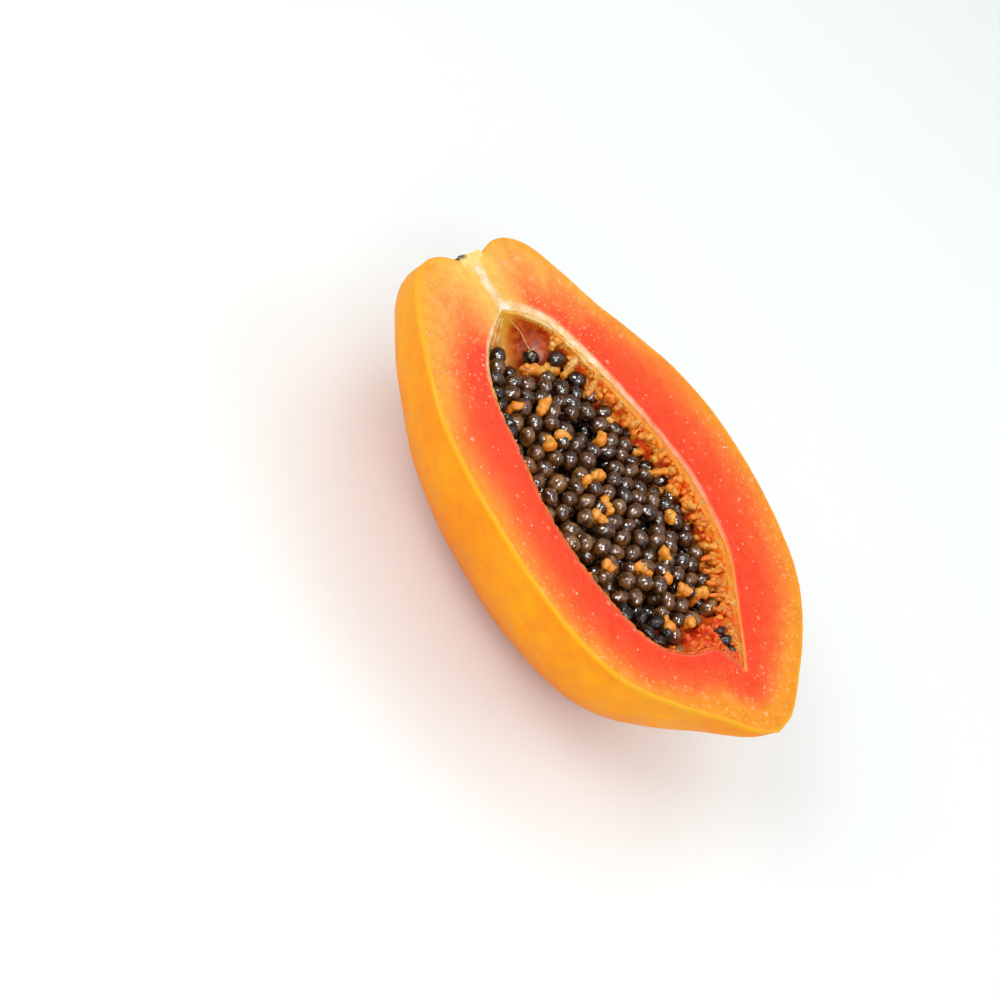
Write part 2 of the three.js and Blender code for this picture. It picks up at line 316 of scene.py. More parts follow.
# mesh helpers
def finishPiece(name, bm, materials, nodes, sharpAngle=None):
    # from the outlines' millimetres into the frame, flat where the fruit lies on the floor
    for vert in bm.verts:
        vert.co = (vert.co + cutFace) * mm
        vert.co.z = max(vert.co.z, 0)
    bmesh.ops.recalc_face_normals(bm, faces=bm.faces)
    mesh = bpy.data.meshes.new(name)
    bm.to_mesh(mesh)
    bm.free()
    mesh.shade_smooth()
    if sharpAngle:
        mesh.set_sharp_from_angle(angle=math.radians(sharpAngle))
    for material in materials:
        mesh.materials.append(material)
    piece = bpy.data.objects.new(name, mesh)
    bpy.context.scene.collection.objects.link(piece)
    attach(piece, "root")
    if nodes:
        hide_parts(*nodes)
    print(name, len(mesh.polygons), "faces")


def denserEnds(share, amount=0.8):
    return share - amount * math.sin(2 * math.pi * share) / (2 * math.pi)


def troughGrid(outside, inside, steps, relief, skinIndex=0):
    # a grid is rolled into a closed U section: outside, near lip, inside, far lip
    around, lip, within, along = steps
    total = around + lip + within + lip
    bm = bmesh.new()
    bmesh.ops.create_grid(bm, x_segments=total, y_segments=along, size=0.5)
    for face in bm.faces:
        isSkin = (face.calc_center_median().x + 0.5) * total < around
        face.material_index = skinIndex if isSkin else 0
    for vert in bm.verts:
        step = round((vert.co.x + 0.5) * total) % total
        share = round(vert.co.y + 0.5, 6)
        if step <= around:
            point = outside(share, math.pi * denserEnds(step / around))
        elif step <= around + lip:
            onLip = denserEnds((step - around) / lip)
            point = outside(share, math.pi).lerp(inside(share, math.pi), onLip)
        elif step <= around + lip + within:
            point = inside(share, math.pi * (1 - denserEnds((step - around - lip) / within, 0.5)))
        else:
            onLip = denserEnds((step - around - lip - within) / lip)
            point = inside(share, 0).lerp(outside(share, 0), onLip)
        vert.co = relief(point, step <= around)
    bmesh.ops.remove_doubles(bm, verts=bm.verts, dist=0.004)
    return bm


def strand(bm, start, end, rootRadius, tipRadius, rough=0.35, bend=0.0, sides=7, rings=4):
    # a tapered, slightly lumpy strand from start to end, mm in the outlines' frame
    length = (end - start).length
    firstVert, firstEdge = len(bm.verts), len(bm.edges)
    bmesh.ops.create_cone(bm, cap_ends=True, segments=sides,
                          radius1=rootRadius, radius2=tipRadius, depth=length)
    bm.edges.ensure_lookup_table()
    longEdges = [e for e in bm.edges[firstEdge:] if abs(e.verts[0].co.z - e.verts[1].co.z) > length / 2]
    bmesh.ops.subdivide_edges(bm, edges=longEdges, cuts=rings)
    bm.verts.ensure_lookup_table()
    verts = bm.verts[firstVert:]
    side = Vector((random.uniform(-1, 1), random.uniform(-1, 1), 0)) * bend * length
    lean = random.uniform(0, 100)
    for vert in verts:
        along = vert.co.z / length + 0.5
        radial, axial = Vector((vert.co.x, vert.co.y, 0)), Vector((0, 0, vert.co.z))
        swell = noise.noise(Vector((vert.co.x * 0.8, vert.co.y * 0.8, vert.co.z * 0.7 + lean)))
        narrow = 0.6 if along > 0.98 else 1.0  # the free end is rounded off
        vert.co = radial * (1 + rough * swell * 2) * narrow + axial + side * math.sin(math.pi * along)
    turn = (end - start).to_track_quat("Z", "Y").to_matrix().to_4x4()
    bmesh.ops.transform(bm, matrix=Matrix.Translation((start + end) / 2) @ turn, verts=verts)
    return verts


def lump(bm, centre, size, rough=0.25, subdivisions=2):
    # an uneven ball, turned at random
    made = bmesh.ops.create_icosphere(bm, subdivisions=subdivisions, radius=1)
    lean, turn = Vector(threeOf(0, 50)), randomTurn()
    for vert in made["verts"]:
        bumps = noise.noise(vert.co * 1.4 + lean) + 0.45 * noise.noise(vert.co * 3.3 + lean)
        swell = 1 + rough * 2 * bumps
        vert.co = turn @ Vector([c * s * swell for c, s in zip(vert.co, size)]) + centre
    return made["verts"]


def newParts():
    # parts are added to one mesh, each painted with its own tone
    bm = bmesh.new()
    bm.verts.layers.float.new("tone")
    return bm


def paint(bm, verts, tone, paintedShadeBelow=0.0):
    # one tone for a part, lowered towards its lowest point by painted shade: redder and darker where
    # shade falls under it
    layer = bm.verts.layers.float["tone"]
    heights = [vert.co.z for vert in verts]
    top, low = max(heights), min(heights)
    for vert in verts:
        vert[layer] = tone - paintedShadeBelow * (top - vert.co.z) / (top - low)


# flesh and rind
fleshLook = {
    "steps": (96, 24, 40, 260),  # skin, lip, hollow wall, along
    "edgeRound": 0.35, "rimRound": 0.3, "rimRagged": 0.3, "waviness": 0.16, "skinWaviness": 0.35,
    "coreLine": [(-92.0, 0.6), (-80.0, -0.6), (-68.0, -1.0)], "coreWidth": 1.6,
    # pale band along the rim: its width in mm, and where along x it narrows and fades
    "farBand": (3.6, 2.1), "farNarrows": (-64, -5), "farThins": (25, 60),
    "farFades": (-46, -12), "farEnds": (15, 45), "nearBand": 0.9, "nearFades": (-64, -35),
    "tipZone": (58, 90), "innerGrain": (-30, 30), "stalkGrain": (30, 58),
}


def fleshRelief(point, isSkin):
    if isSkin:
        wave = noise.noise(point * 0.045) * fleshLook["skinWaviness"] + noise.noise(point * 0.16) * 0.1
        out = Vector((0, point.y, point.z))
        out = out.normalized() if out.length > 1 else Vector()
        rolled = math.exp(point.z / 0.8)
        point = point + out * (wave * (1 - rolled) - 0.12 * rolled)
        return Vector((point.x, point.y, min(point.z - fleshLook["edgeRound"] * rolled, 0)))
    wave = noise.noise(point * 0.11) * fleshLook["waviness"] + noise.noise(point * 0.5) * 0.05
    ragged = noise.noise_vector(point * 1.2) * fleshLook["rimRagged"] * math.exp(point.z)
    return point + Vector((ragged.x, ragged.y, min(wave - 0.1, 0) if point.z > -0.01 else 0))


def distancesTo(points, outline):
    # shortest distance from each point to a polyline, in the cut plane
    a, b = outline[:-1], outline[1:]
    step = b - a
    best = np.full(len(points), 1e9)
    for start, along in zip(a, step):
        share = np.clip(((points - start) @ along) / max(along @ along, 1e-9), 0, 1)
        best = np.minimum(best, np.linalg.norm(points - (start + share[:, None] * along), axis=1))
    return best


def outlineOf(far, near, count=160):
    shares = [i / count for i in range(count + 1)]
    line = [onCurve(far, s) for s in shares] + [onCurve(near, s) for s in reversed(shares)]
    return np.array([tuple(p) for p in line])


def makeFlesh():
    bm = troughGrid(rindPoint, hollowPoint, fleshLook["steps"], fleshRelief, 1)
    flat = np.array([(v.co.x, v.co.y) for v in bm.verts])
    edge = distancesTo(flat, outlineOf("rindFar", "rindNear"))
    rim = distancesTo(flat, outlineOf("hollowFar", "hollowNear"))
    core = distancesTo(flat, np.array(fleshLook["coreLine"]))
    names = ("depthShare", "paleShare", "edgeLine", "coreGlow", "grainShare")
    layers = {name: bm.verts.layers.float.new(name) for name in names}
    for vert, e, r, c in zip(bm.verts, edge, rim, core):
        x, y = vert.co.x, vert.co.y
        tipZone = ease(x, *fleshLook["tipZone"])
        depth = e / max(e + r, 0.1)
        vert[layers["depthShare"]] = depth - 0.34 * tipZone * (1 - depth * 0.5)
        if y > -1:
            wide = mix(*fleshLook["farBand"], ease(x, *fleshLook["farNarrows"]))
            wide *= 1 - 0.5 * ease(x, *fleshLook["farThins"])
            strength = mix(1.0, 0.4, ease(x, *fleshLook["farFades"]))
            strength = mix(strength, 0.1, ease(x, *fleshLook["farEnds"]))
        else:
            wide = fleshLook["nearBand"]
            strength = mix(0.9, 0.12, ease(x, *fleshLook["nearFades"]))
        band = (1 - ease(r, wide * 0.55, wide * 1.2)) * strength
        line = 1 - ease(c, fleshLook["coreWidth"] * 0.4, fleshLook["coreWidth"] * 2.0)
        vert[layers["paleShare"]] = max(band, line)
        golden = 0.5 * (1 - ease(r, 0.3, 1.3)) * ease(x, 5, 40) if y > -1 else 0
        vert[layers["edgeLine"]] = max(1 - ease(math.hypot(e, vert.co.z * 0.6), 0.3, 1.3), golden)
        vert[layers["coreGlow"]] = 1 - ease(c, 1, 22 if y < -1 else 17)
        innerGrain = (1 - ease(depth, 0.2, 0.55)) * ease(x, *fleshLook["innerGrain"])
        stalkGrain = 0.8 * ease(-x, *fleshLook["stalkGrain"])
        vert[layers["grainShare"]] = max(tipZone, innerGrain, stalkGrain)
        if vert.co.z > -0.4:  # the cut's two edges are slightly rolled
            rimRound = fleshLook["rimRound"] * math.exp(-r / 0.35)
            vert.co.z -= rimRound + fleshLook["edgeRound"] * math.exp(-e / 0.4) * 0.6
    materials = [fleshMaterial(), rindMaterial()]
    finishPiece("fleshAndRind", bm, materials, ["flesh_and_rind"], 50)


def fleshMaterial():
    material, tree, shader, where = newMaterial("moistFlesh", {
        "Roughness": 0.4, "Coat Weight": 0.04, "Coat Roughness": 0.16, "Specular IOR Level": 0.2,
        "Subsurface Weight": 0.12, "Subsurface Radius": (1.0, 0.3, 0.1), "Subsurface Scale": 0.003})
    cloud = cloudy(tree, where, 42)
    fine = cloudy(tree, where, 260)
    depth = attributeOf(tree, "depthShare")
    sway = maths(tree, "MULTIPLY_ADD", cloud, 0.14, -0.07)
    depth = maths(tree, "ADD", depth, sway)
    body = rampOf(tree, depth, [(0.0, (246, 154, 12)), (0.1, (248, 150, 32)), (0.24, (249, 124, 38)),
                                (0.42, (250, 92, 30)), (0.66, (250, 70, 22)), (1.0, (248, 58, 20))])
    swayX = maths(tree, "MULTIPLY_ADD", cloud, 0.016, axisOf(tree, where, "X"))
    swayX = maths(tree, "MULTIPLY_ADD", depth, 0.03, swayX)
    stalkEnd = spread(tree, swayX, -0.02, -0.072)  # the paler stalk end reaches further along the rind
    paleFlesh = rampOf(tree, depth, [(0.0, (248, 174, 36)), (0.3, (249, 174, 76)),
                                     (0.65, (249, 142, 66)), (1.0, (249, 108, 50))])
    body = mixColours(tree, stalkEnd, body, paleFlesh)
    glow = maths(tree, "MULTIPLY", attributeOf(tree, "coreGlow"), 0.9)
    body = mixColours(tree, glow, body, colour(252, 212, 96))
    cream = rampOf(tree, fine, [(0.0, (252, 200, 136)), (0.5, (254, 222, 172)), (1.0, (255, 236, 208))])
    body = mixColours(tree, attributeOf(tree, "paleShare"), body, cream)
    mottle = mixColours(tree, fine, colour(242, 222, 204), colour(255, 255, 255))
    body = mixColours(tree, 0.65, body, mottle, "MULTIPLY")
    veil = maths(tree, "MULTIPLY", cloudy(tree, where, 900), 0.07)
    body = mixColours(tree, veil, body, colour(255, 170, 104))
    grain = attributeOf(tree, "grainShare")
    body = dotted(tree, where, body, 560, 0.32, 0.75, grain, 0.42, (255, 200, 136))
    body = dotted(tree, where, body, 300, 0.2, 0.45, fine, 0.6, (255, 188, 140))
    body = dotted(tree, where, body, 150, 0.15, 0.4, cloud, 0.65, (255, 196, 158))
    body = mixColours(tree, attributeOf(tree, "edgeLine"), body, colour(250, 176, 18))
    dressed(tree, shader, body, spread(tree, fine, 0, 1, 0.3, 0.48))
    bumped(tree, shader, grainy(tree, where, 1100), 0.4, 0.0005)
    return material


def dotted(tree, where, body, scale, size, share, mask, strength, shade):
    # pale specks of one size over the body colour, where the mask lets them show
    shown = maths(tree, "MULTIPLY", specked(tree, where, scale, size, share), mask)
    return mixColours(tree, maths(tree, "MULTIPLY", shown, strength), body, colour(*shade))


def rindMaterial():
    finish = {"Roughness": 0.55, "Specular IOR Level": 0.12}
    material, tree, shader, where = newMaterial("waxyRind", finish)
    cloud = cloudy(tree, where, 24)
    fine = cloudy(tree, where, 170)
    body = rampOf(tree, cloud, [(0.0, (250, 142, 2)), (0.5, (252, 154, 4)), (1.0, (254, 164, 8))])
    stalkEnd = spread(tree, axisOf(tree, where, "X"), -0.06, -0.096)
    body = mixColours(tree, stalkEnd, body, colour(249, 166, 30))
    # darker orange towards the floor: partly the skin's own deeper tone underneath, partly painted shade
    under = spread(tree, axisOf(tree, where, "Z"), 0.05, 0.006)
    body = mixColours(tree, under, body, colour(222, 108, 4))
    freckles = maths(tree, "MULTIPLY", specked(tree, where, 240, 0.13, 0.35), 0.3)
    body = mixColours(tree, freckles, body, colour(252, 190, 70))
    mottle = mixColours(tree, fine, colour(240, 232, 214), colour(255, 255, 255))
    body = mixColours(tree, 0.6, body, mottle, "MULTIPLY")
    body = mixColours(tree, attributeOf(tree, "edgeLine"), body, colour(250, 180, 16))
    dressed(tree, shader, body, spread(tree, fine, 0, 1, 0.44, 0.6))
    bumped(tree, shader, grainy(tree, where, 600), 0.2, 0.0005)
    return material


makeFlesh()


# pulp: lining, fibres and knobs
pulpLook = {
    # the tone each pulp part loses towards its lowest point (the last value on the next line) is painted
    # shade
    "steps": (56, 8, 72, 260), "farThick": 2.6, "nearThick": 0.7, "ragged": 0.8, "paintedShadeBelow": 0.24,
    "folds": 9, "foldHeight": 0.28,
    "strands": 62, "nearStrands": 16,
    "strandRoot": (1.0, 1.7), "strandTip": (0.7, 1.2), "strandLength": (3.5, 7.5),
    "crumbs": 210, "crumbSize": (0.7, 1.9), "redderFrom": (0.78, 0.92),
    "knobs": [(-34.5, -7.8), (-22.8, -8.6), (-22.4, -15.7), (-6, -5), (-6.1, -10.5), (4.4, -8.6),
              (7, -15), (27.5, 1.2), (28.4, -11.6), (34.5, -3.8), (40.3, -1), (47, -16.5),
              (50.5, -7), (-38, -19), (-17, 8), (17, 15), (22, -24), (44, 6)],
    "knobSize": (1.5, 2.35),
    # cords and heaps at the stalk end and on the far wall: from, to, radius, tone
    "cords": [((-45.5, 19.6, -1.9), (-42.5, 12.5, -7.6), 1.45, 0.88),
              ((-50.5, 1.5, -9.0), (-46.0, 12.5, -7.4), 1.9, 0.74),
              ((3.5, 27.5, -2.2), (0.5, 19.0, -4.4), 1.2, 0.7),
              ((-35.5, 20.5, -2.4), (-33.0, 15.5, -5.6), 1.4, 0.72),
              ((37.0, 23.0, -1.8), (34.5, 15.5, -3.6), 1.0, 0.6),
              ((41.0, 20.5, -1.8), (38.5, 13.5, -3.4), 0.9, 0.64),
              ((45.0, 18.0, -1.8), (42.0, 11.0, -3.4), 1.1, 0.58),
              ((49.0, 15.0, -1.8), (46.0, 8.5, -3.2), 0.9, 0.64),
              ((53.0, 12.0, -1.8), (50.5, 6.5, -3.0), 0.8, 0.58)],
    "heaps": [((-52.5, 14.0, -3.0), 2.4, 0.88), ((-18.5, 22.5, -3.0), 2.6, 0.66),
              ((-15.5, 24.5, -2.8), 2.2, 0.7), ((-4.0, 26.5, -2.8), 2.3, 0.68),
              ((-1.5, 27.0, -2.7), 1.8, 0.62), ((8.5, 26.0, -3.2), 2.7, 0.64),
              ((-31.5, 19.0, -3.4), 2.1, 0.64), ((-50.0, 0.5, -8.6), 1.8, 0.74),
              ((24.0, 24.5, -2.8), 1.9, 0.66), ((37.0, 20.0, -2.6), 1.8, 0.66),
              ((45.0, 15.5, -2.6), 1.7, 0.62)],
    "tornZone": (51.0, 72.0), "tornSteps": (90, 60), "tornRough": 1.0, "tornThick": 2.5,
    "tornLumps": 40, "tornSize": (0.5, 1.2),
}


def liningInside(share, angle):
    thick = mix(pulpLook["farThick"], pulpLook["nearThick"], (1 - math.cos(angle)) / 2)
    thick *= 0.5 + 0.5 * ease(share, 0.12, 0.32)
    return hollowPoint(share, angle, thick + 0.1)


def liningRelief(point, isOutside):
    if isOutside:
        return point + Vector((0, 0, -0.35 if point.z > -0.3 else 0))
    rough = noise.noise(point * 0.55) + 0.6 * noise.noise(point * 1.3 + Vector((9, 4, 2)))
    out = Vector((0, point.y + 3, point.z * 1.2))
    out = out.normalized() if out.length > 0.5 else Vector((0, 0, -1))
    # the stalk end is smooth, with soft folds that run to the core
    smooth = 1 - 0.75 * ease(-point.x, 42, 52)
    folds = pulpLook["foldHeight"] * math.cos(pulpLook["folds"] * math.atan2(point.z, point.y + 1))
    folds = folds * ease(-point.x, 46, 56) * (1 - ease(-point.x, 64, 69))
    point = point + out * (rough * pulpLook["ragged"] * smooth - folds)
    below = abs(rough) * 0.5 * smooth * math.exp(point.z / 2)
    return Vector((point.x, point.y, min(point.z, -0.3) - below))


def pulpMaterial():
    material, tree, shader, where = newMaterial("fibrousPulp", {
        "Roughness": 0.45, "Coat Weight": 0.04, "Coat Roughness": 0.2, "Specular IOR Level": 0.16,
        "Subsurface Weight": 0.4, "Subsurface Radius": (1.0, 0.35, 0.08), "Subsurface Scale": 0.005})
    cloud = cloudy(tree, where, 330)
    tone = attributeOf(tree, "tone")
    sway = maths(tree, "MULTIPLY_ADD", cloud, 0.24, -0.12)
    tone = maths(tree, "ADD", tone, sway)
    body = rampOf(tree, tone, [(0.0, (178, 34, 4)), (0.2, (244, 68, 18)), (0.4, (254, 106, 28)),
                               (0.56, (255, 138, 34)), (0.74, (255, 156, 52)), (0.88, (255, 178, 86)),
                               (1.0, (255, 204, 138))])
    # brown of the far wall at the stalk end, deeper with depth: partly the wall's own brown, partly
    # painted shade
    brownAndShade = rampOf(tree, cloud, [(0.0, (150, 48, 2)), (1.0, (216, 98, 14))])
    body = mixColours(tree, attributeOf(tree, "brownAndShadeShare"), body, brownAndShade)
    body = mixColours(tree, attributeOf(tree, "goldShare"), body, colour(255, 178, 44))
    dressed(tree, shader, body, spread(tree, cloud, 0, 1, 0.3, 0.5))
    bumped(tree, shader, grainy(tree, where, 1500), 0.35, 0.0005)
    return material


liningTones = {
    "stalkRim": 0.88, "middleRim": 0.6, "blossomRim": 0.42, "nearRim": 0.34, "deep": 0.22,
    "stalkPale": (0.92, 0.82), "brownAndShade": 0.85, "apexGold": 0.9, "stripeGold": 0.6,
    "apex": (-66.5, -2.0, -3.0), "stripes": 7,
}


def makePulp(material):
    wall = lambda share, angle: hollowPoint(share, angle, 0.1)
    bm = troughGrid(wall, liningInside, pulpLook["steps"], liningRelief)
    names = ("tone", "brownAndShadeShare", "goldShare")
    toneLayer, brownAndShadeLayer, goldLayer = [bm.verts.layers.float.new(name) for name in names]
    for vert in bm.verts:
        x, y, z = vert.co
        across = acrossHollow(x, y)[1]
        rimTone = mix(liningTones["stalkRim"], liningTones["middleRim"], ease(x, -48, -14))
        rimTone = mix(rimTone, liningTones["blossomRim"], ease(x, 50, 60))
        rimTone = mix(rimTone, liningTones["nearRim"], ease(-across, 0.4, 0.9) * ease(x, -48, -28))
        tone = mix(rimTone, liningTones["deep"] + 0.1 * across, ease(-z, 1.0, 3.6))
        stalk = ease(-x, 44, 52)
        near = ease(-across, -0.6, -0.1)
        pale = mix(*liningTones["stalkPale"], ease(-z, 0.6, 2.5))
        vert[toneLayer] = mix(tone, pale, stalk * max(near, 1 - ease(-z, 0.4, 1.6)))
        # the far wall at the stalk end turns brown with depth below the rim: partly its own brown,
        # partly painted shade
        vert[brownAndShadeLayer] = liningTones["brownAndShade"] * stalk * (1 - near) * ease(-z, 0.8, 4.0)
        apex = 1 - ease((vert.co - Vector(liningTones["apex"])).length, 2.5, 8)
        stripe = ease(math.cos(liningTones["stripes"] * math.atan2(z, y + 1)), 0.4, 0.95) * stalk * near
        vert[goldLayer] = max(liningTones["apexGold"] * apex, liningTones["stripeGold"] * stripe)
    finishPiece("pulpLining", bm, [material], ["pulp"])


def addLump(bm, centre, size, tone, rough=0.35, subdivisions=2):
    centre = Vector(centre)
    centre.z = min(centre.z, -max(size) - 0.15)
    paint(bm, lump(bm, centre, size, rough, subdivisions), tone, pulpLook["paintedShadeBelow"])


def makeStrands(material):
    # short thick strands that stand off the wall, and crumbs of pulp between them
    bm = newParts()
    count = pulpLook["strands"]
    for i in range(count + pulpLook["nearStrands"]):
        isFar = i < count
        share = mix(0.27, 0.93, (i + random.random()) / count) if isFar else random.uniform(0.3, 0.85)
        under = abs(random.gauss(0, 0.2)) + 0.05
        angle = under if isFar else math.pi - under * 0.6 - 0.05
        length = random.uniform(*pulpLook["strandLength"]) * (1 if isFar else 0.45)
        start = hollowPoint(share, angle, 0.9 if isFar else 0.3)
        end = hollowPoint(share + random.uniform(-0.012, 0.012), angle, length)
        end.z += random.uniform(-2.2, 0.2)
        root = random.uniform(*pulpLook["strandRoot"]) * (1 if isFar else 0.6)
        start.z, end.z = min(start.z, -root - 0.2), min(end.z, -root - 0.2)
        verts = strand(bm, start, end, root, random.uniform(*pulpLook["strandTip"]), 0.5, 0.08, 8)
        redder = 0.16 * ease(share, *pulpLook["redderFrom"])  # towards the blossom end
        paint(bm, verts, random.triangular(0.5, 0.95, 0.78) - redder, pulpLook["paintedShadeBelow"])
        if random.random() < 0.6:
            addLump(bm, end, threeOf(1.0, 1.8), random.uniform(0.66, 0.86) - redder)
    for _ in range(pulpLook["crumbs"]):
        share = random.uniform(0.13, 0.97)
        if share > 0.66 and random.random() < 0.5:  # fewer crumbs towards the blossom end
            continue
        stalk = 1 - ease(share, 0.2, 0.32)  # only fine crumbs close to the rim at the stalk end
        under = random.random() ** 1.5 * mix(0.45, 0.2, stalk)
        spot = hollowPoint(share, under, random.uniform(1.2, mix(3.6, 1.6, stalk)))
        size = random.uniform(*pulpLook["crumbSize"]) * mix(1, 0.55, stalk)
        shape = threeOf(0.6, 1.2, size)
        tone = random.triangular(0.35, 0.95, 0.74) - 0.22 * ease(share, *pulpLook["redderFrom"])
        addLump(bm, spot, shape, tone, 0.4, 2 if size > 1 else 1)
    for start, end, radius, tone in pulpLook["cords"]:
        start, end = Vector(start), Vector(end)
        verts = strand(bm, start, end, radius, radius * 0.85, 0.35, 0.06, 12, 7)
        paint(bm, verts, tone, pulpLook["paintedShadeBelow"])
        for _ in range(4):
            spot = start.lerp(end, random.random())
            addLump(bm, spot, threeOf(0.7, 1.15, radius), tone + random.uniform(-0.06, 0.04))
    for centre, size, tone in pulpLook["heaps"]:
        for _ in range(4):
            spot = Vector(centre) + Vector(threeOf(-0.7, 0.7, size))
            addLump(bm, spot, threeOf(0.45, 0.8, size), tone + random.uniform(-0.08, 0.05), 0.4)
    finishPiece("pulpStrands", bm, [material], ["pulp"])


def makeKnobs(material):
    # short chains of round lumps that stand up among the seeds, each on a foot
    bm = newParts()
    for x, y in pulpLook["knobs"]:
        centre = Vector((x, y, bedHeight(x, y) + random.uniform(1.6, 2.6)))
        centre.z = min(centre.z, -2.6)
        foot = Vector((x + random.uniform(-1.5, 1.5), y + random.uniform(-1.5, 1.5), centre.z - 7))
        paint(bm, strand(bm, foot, centre, 1.2, 1.4, 0.4, 0.1, 8), 0.55)
        heading, step = random.uniform(0, wholeTurn), random.uniform(1.7, 2.4)
        links = random.choice((1, 2, 2, 3))
        for k in range(links):
            size = threeOf(*pulpLook["knobSize"], 1 - 0.1 * k)
            offset = Vector((math.cos(heading), math.sin(heading), -0.15)) * step * (k - (links - 1) / 2)
            addLump(bm, centre + offset, size, random.uniform(0.7, 0.84), 0.26)
    finishPiece("pulpKnobs", bm, [material], ["pulp"])


def makeTornEnd(material):
    # the blossom end of the hollow is filled with torn flesh, with a few crumbs on it
    bm = newParts()
    tone = bm.verts.layers.float["tone"]
    low, high = pulpLook["tornZone"]
    along, crossing = pulpLook["tornSteps"]
    bmesh.ops.create_grid(bm, x_segments=along, y_segments=crossing, size=0.5)
    for vert in bm.verts:
        x, crosswise = mix(low, high, vert.co.x + 0.5), vert.co.y + 0.5
        share = acrossHollow(x, 0)[0]
        spot = hollowPoint(share, math.pi, 0.3).lerp(hollowPoint(share, 0, 0.3), crosswise)
        rough = noise.noise(spot * 0.45) + 0.7 * noise.noise(spot * 1.1) + 0.45 * noise.noise(spot * 2.6)
        depth = mix(9.5, 2.2, ease(x + 3 * noise.noise(spot * 0.3), 51, 57.5))
        depth -= mix(0, 1.3, ease(x, 60, 70))
        inner = max(ease(crosswise, 0.0, 0.3), 1 - ease(x, 55, 58))
        depth = mix(0.9, depth, inner)  # level with the near rim
        spot.z = min(-depth + rough * pulpLook["tornRough"] * ease(crosswise, -0.1, 0.2), -0.3)
        # the tone follows the noise that lifts the surface: redder and darker in the dips, as painted
        # shade
        vert[tone] = 0.3 + 0.14 * rough
        vert.co = spot
    under = bmesh.ops.extrude_face_region(bm, geom=bm.faces[:])
    for vert in under["geom"]:
        if isinstance(vert, bmesh.types.BMVert):
            vert.co.z -= pulpLook["tornThick"]
    for _ in range(pulpLook["tornLumps"]):
        x = mix(low + 2, high - 3, random.random() ** 1.2)
        share = acrossHollow(x, 0)[0]
        spot = hollowPoint(share, math.pi, 1.0).lerp(hollowPoint(share, 0, 1.0), random.random())
        size = random.uniform(*pulpLook["tornSize"])
        spot.z = -size - random.uniform(0.3, mix(5.0, 1.6, ease(x, 52, 60)))
        addLump(bm, spot, threeOf(0.7, 1.5, size), random.triangular(0.28, 0.6, 0.42), 0.5)
    finishPiece("tornEnd", bm, [material], ["pulp"])


pulp = pulpMaterial()
makePulp(pulp)
makeStrands(pulp)
makeKnobs(pulp)
makeTornEnd(pulp)

# fibres where the stalk's core runs into the hollow
apexLook = {
    "cords": [1.75, 2.1, 2.45], "stations": (0.03, 0.08, 0.14, 0.2),
    "radius": 0.55, "threadRadius": 0.15,
    "thread": [(-66.5, 0.5, -2.0), (-61.5, 4.2, -3.9), (-57.0, 5.6, -6.2), (-54.6, 6.2, -6.6)],
}


def makeApexFibres(material):
    # soft cords along the near wall, and one thread that runs to a seed
    bm = newParts()
    for angle in apexLook["cords"]:
        radius = apexLook["radius"] * random.uniform(0.8, 1.15)
        points = [hollowPoint(share, angle + random.uniform(-0.05, 0.05), 0.7)
                  for share in apexLook["stations"]]
        for start, end, size in zip(points, points[1:], (0.8, 1.1, 0.9)):
            verts = strand(bm, start, end, radius * size, radius * size * 0.85, 0.25, 0.05)
            paint(bm, verts, random.uniform(0.84, 0.96))
    places, thin = [Vector(p) for p in apexLook["thread"]], apexLook["threadRadius"]
    for start, end in zip(places, places[1:]):
        paint(bm, strand(bm, start, end, thin, thin, 0.1, 0.05, 6), 0.98)
    for _ in range(7):
        spot = places[-1] + Vector(threeOf(-0.9, 0.9))
        addLump(bm, spot, threeOf(0.25, 0.5), 0.95, 0.4, 1)
    finishPiece("apexFibres", bm, [material], ["pulp"])


makeApexFibres(pulp)

# seeds
seedLook = {
    "spacing": 6.3, "apart": 6.35, "layerDrop": 4.9, "layers": 3, "jitter": 1.5, "unevenness": 1.8,
    "missing": 0.14, "wide": (2.75, 3.2), "long": (3.2, 3.9), "settleSteps": 60,
    "blossomEnd": 58, "stalkEnd": -57, "highest": -3.7, "acrossLimit": 0.88, "roomLimit": 0.96,
    "dryGap": 5.0, "glossyGap": 5.2, "deep": -12,
    "glossySeeds": [(-48.6, 13.4, -5.4), (-39.5, 16.5, -6.0), (-57.0, -9.6, -6.4), (-53.2, -13.6, -5.6),
                    (-49.6, -17.4, -5.2)],
    # place, lift above the bed, share of the usual size
    "drySeeds": [(-45.4, -21.0, 1.0, 1.0), (-40.8, -23.0, 1.0, 1.0), (-35.5, -25.0, 1.0, 1.0),
                 (-53.4, 6.8, 3.8, 1.0), (-31.0, -26.0, 1.0, 1.0), (46.0, -25.0, 1.6, 1.0),
                 (50.5, -24.0, 2.2, 0.9), (45.0, -20.0, 1.2, 1.0), (50.0, -18.5, 1.2, 0.9),
                 (41.5, -24.0, 1.0, 1.0), (37.0, -28.0, 1.0, 1.0), (57.3, 1.6, 9, 0.8),
                 (61.2, 1.5, 9, 0.74), (65.2, 1.2, 9, 0.68)],
    "dryRadii": [(2.3, 2.8), (2.0, 2.5), (3.0, 3.6)],
}


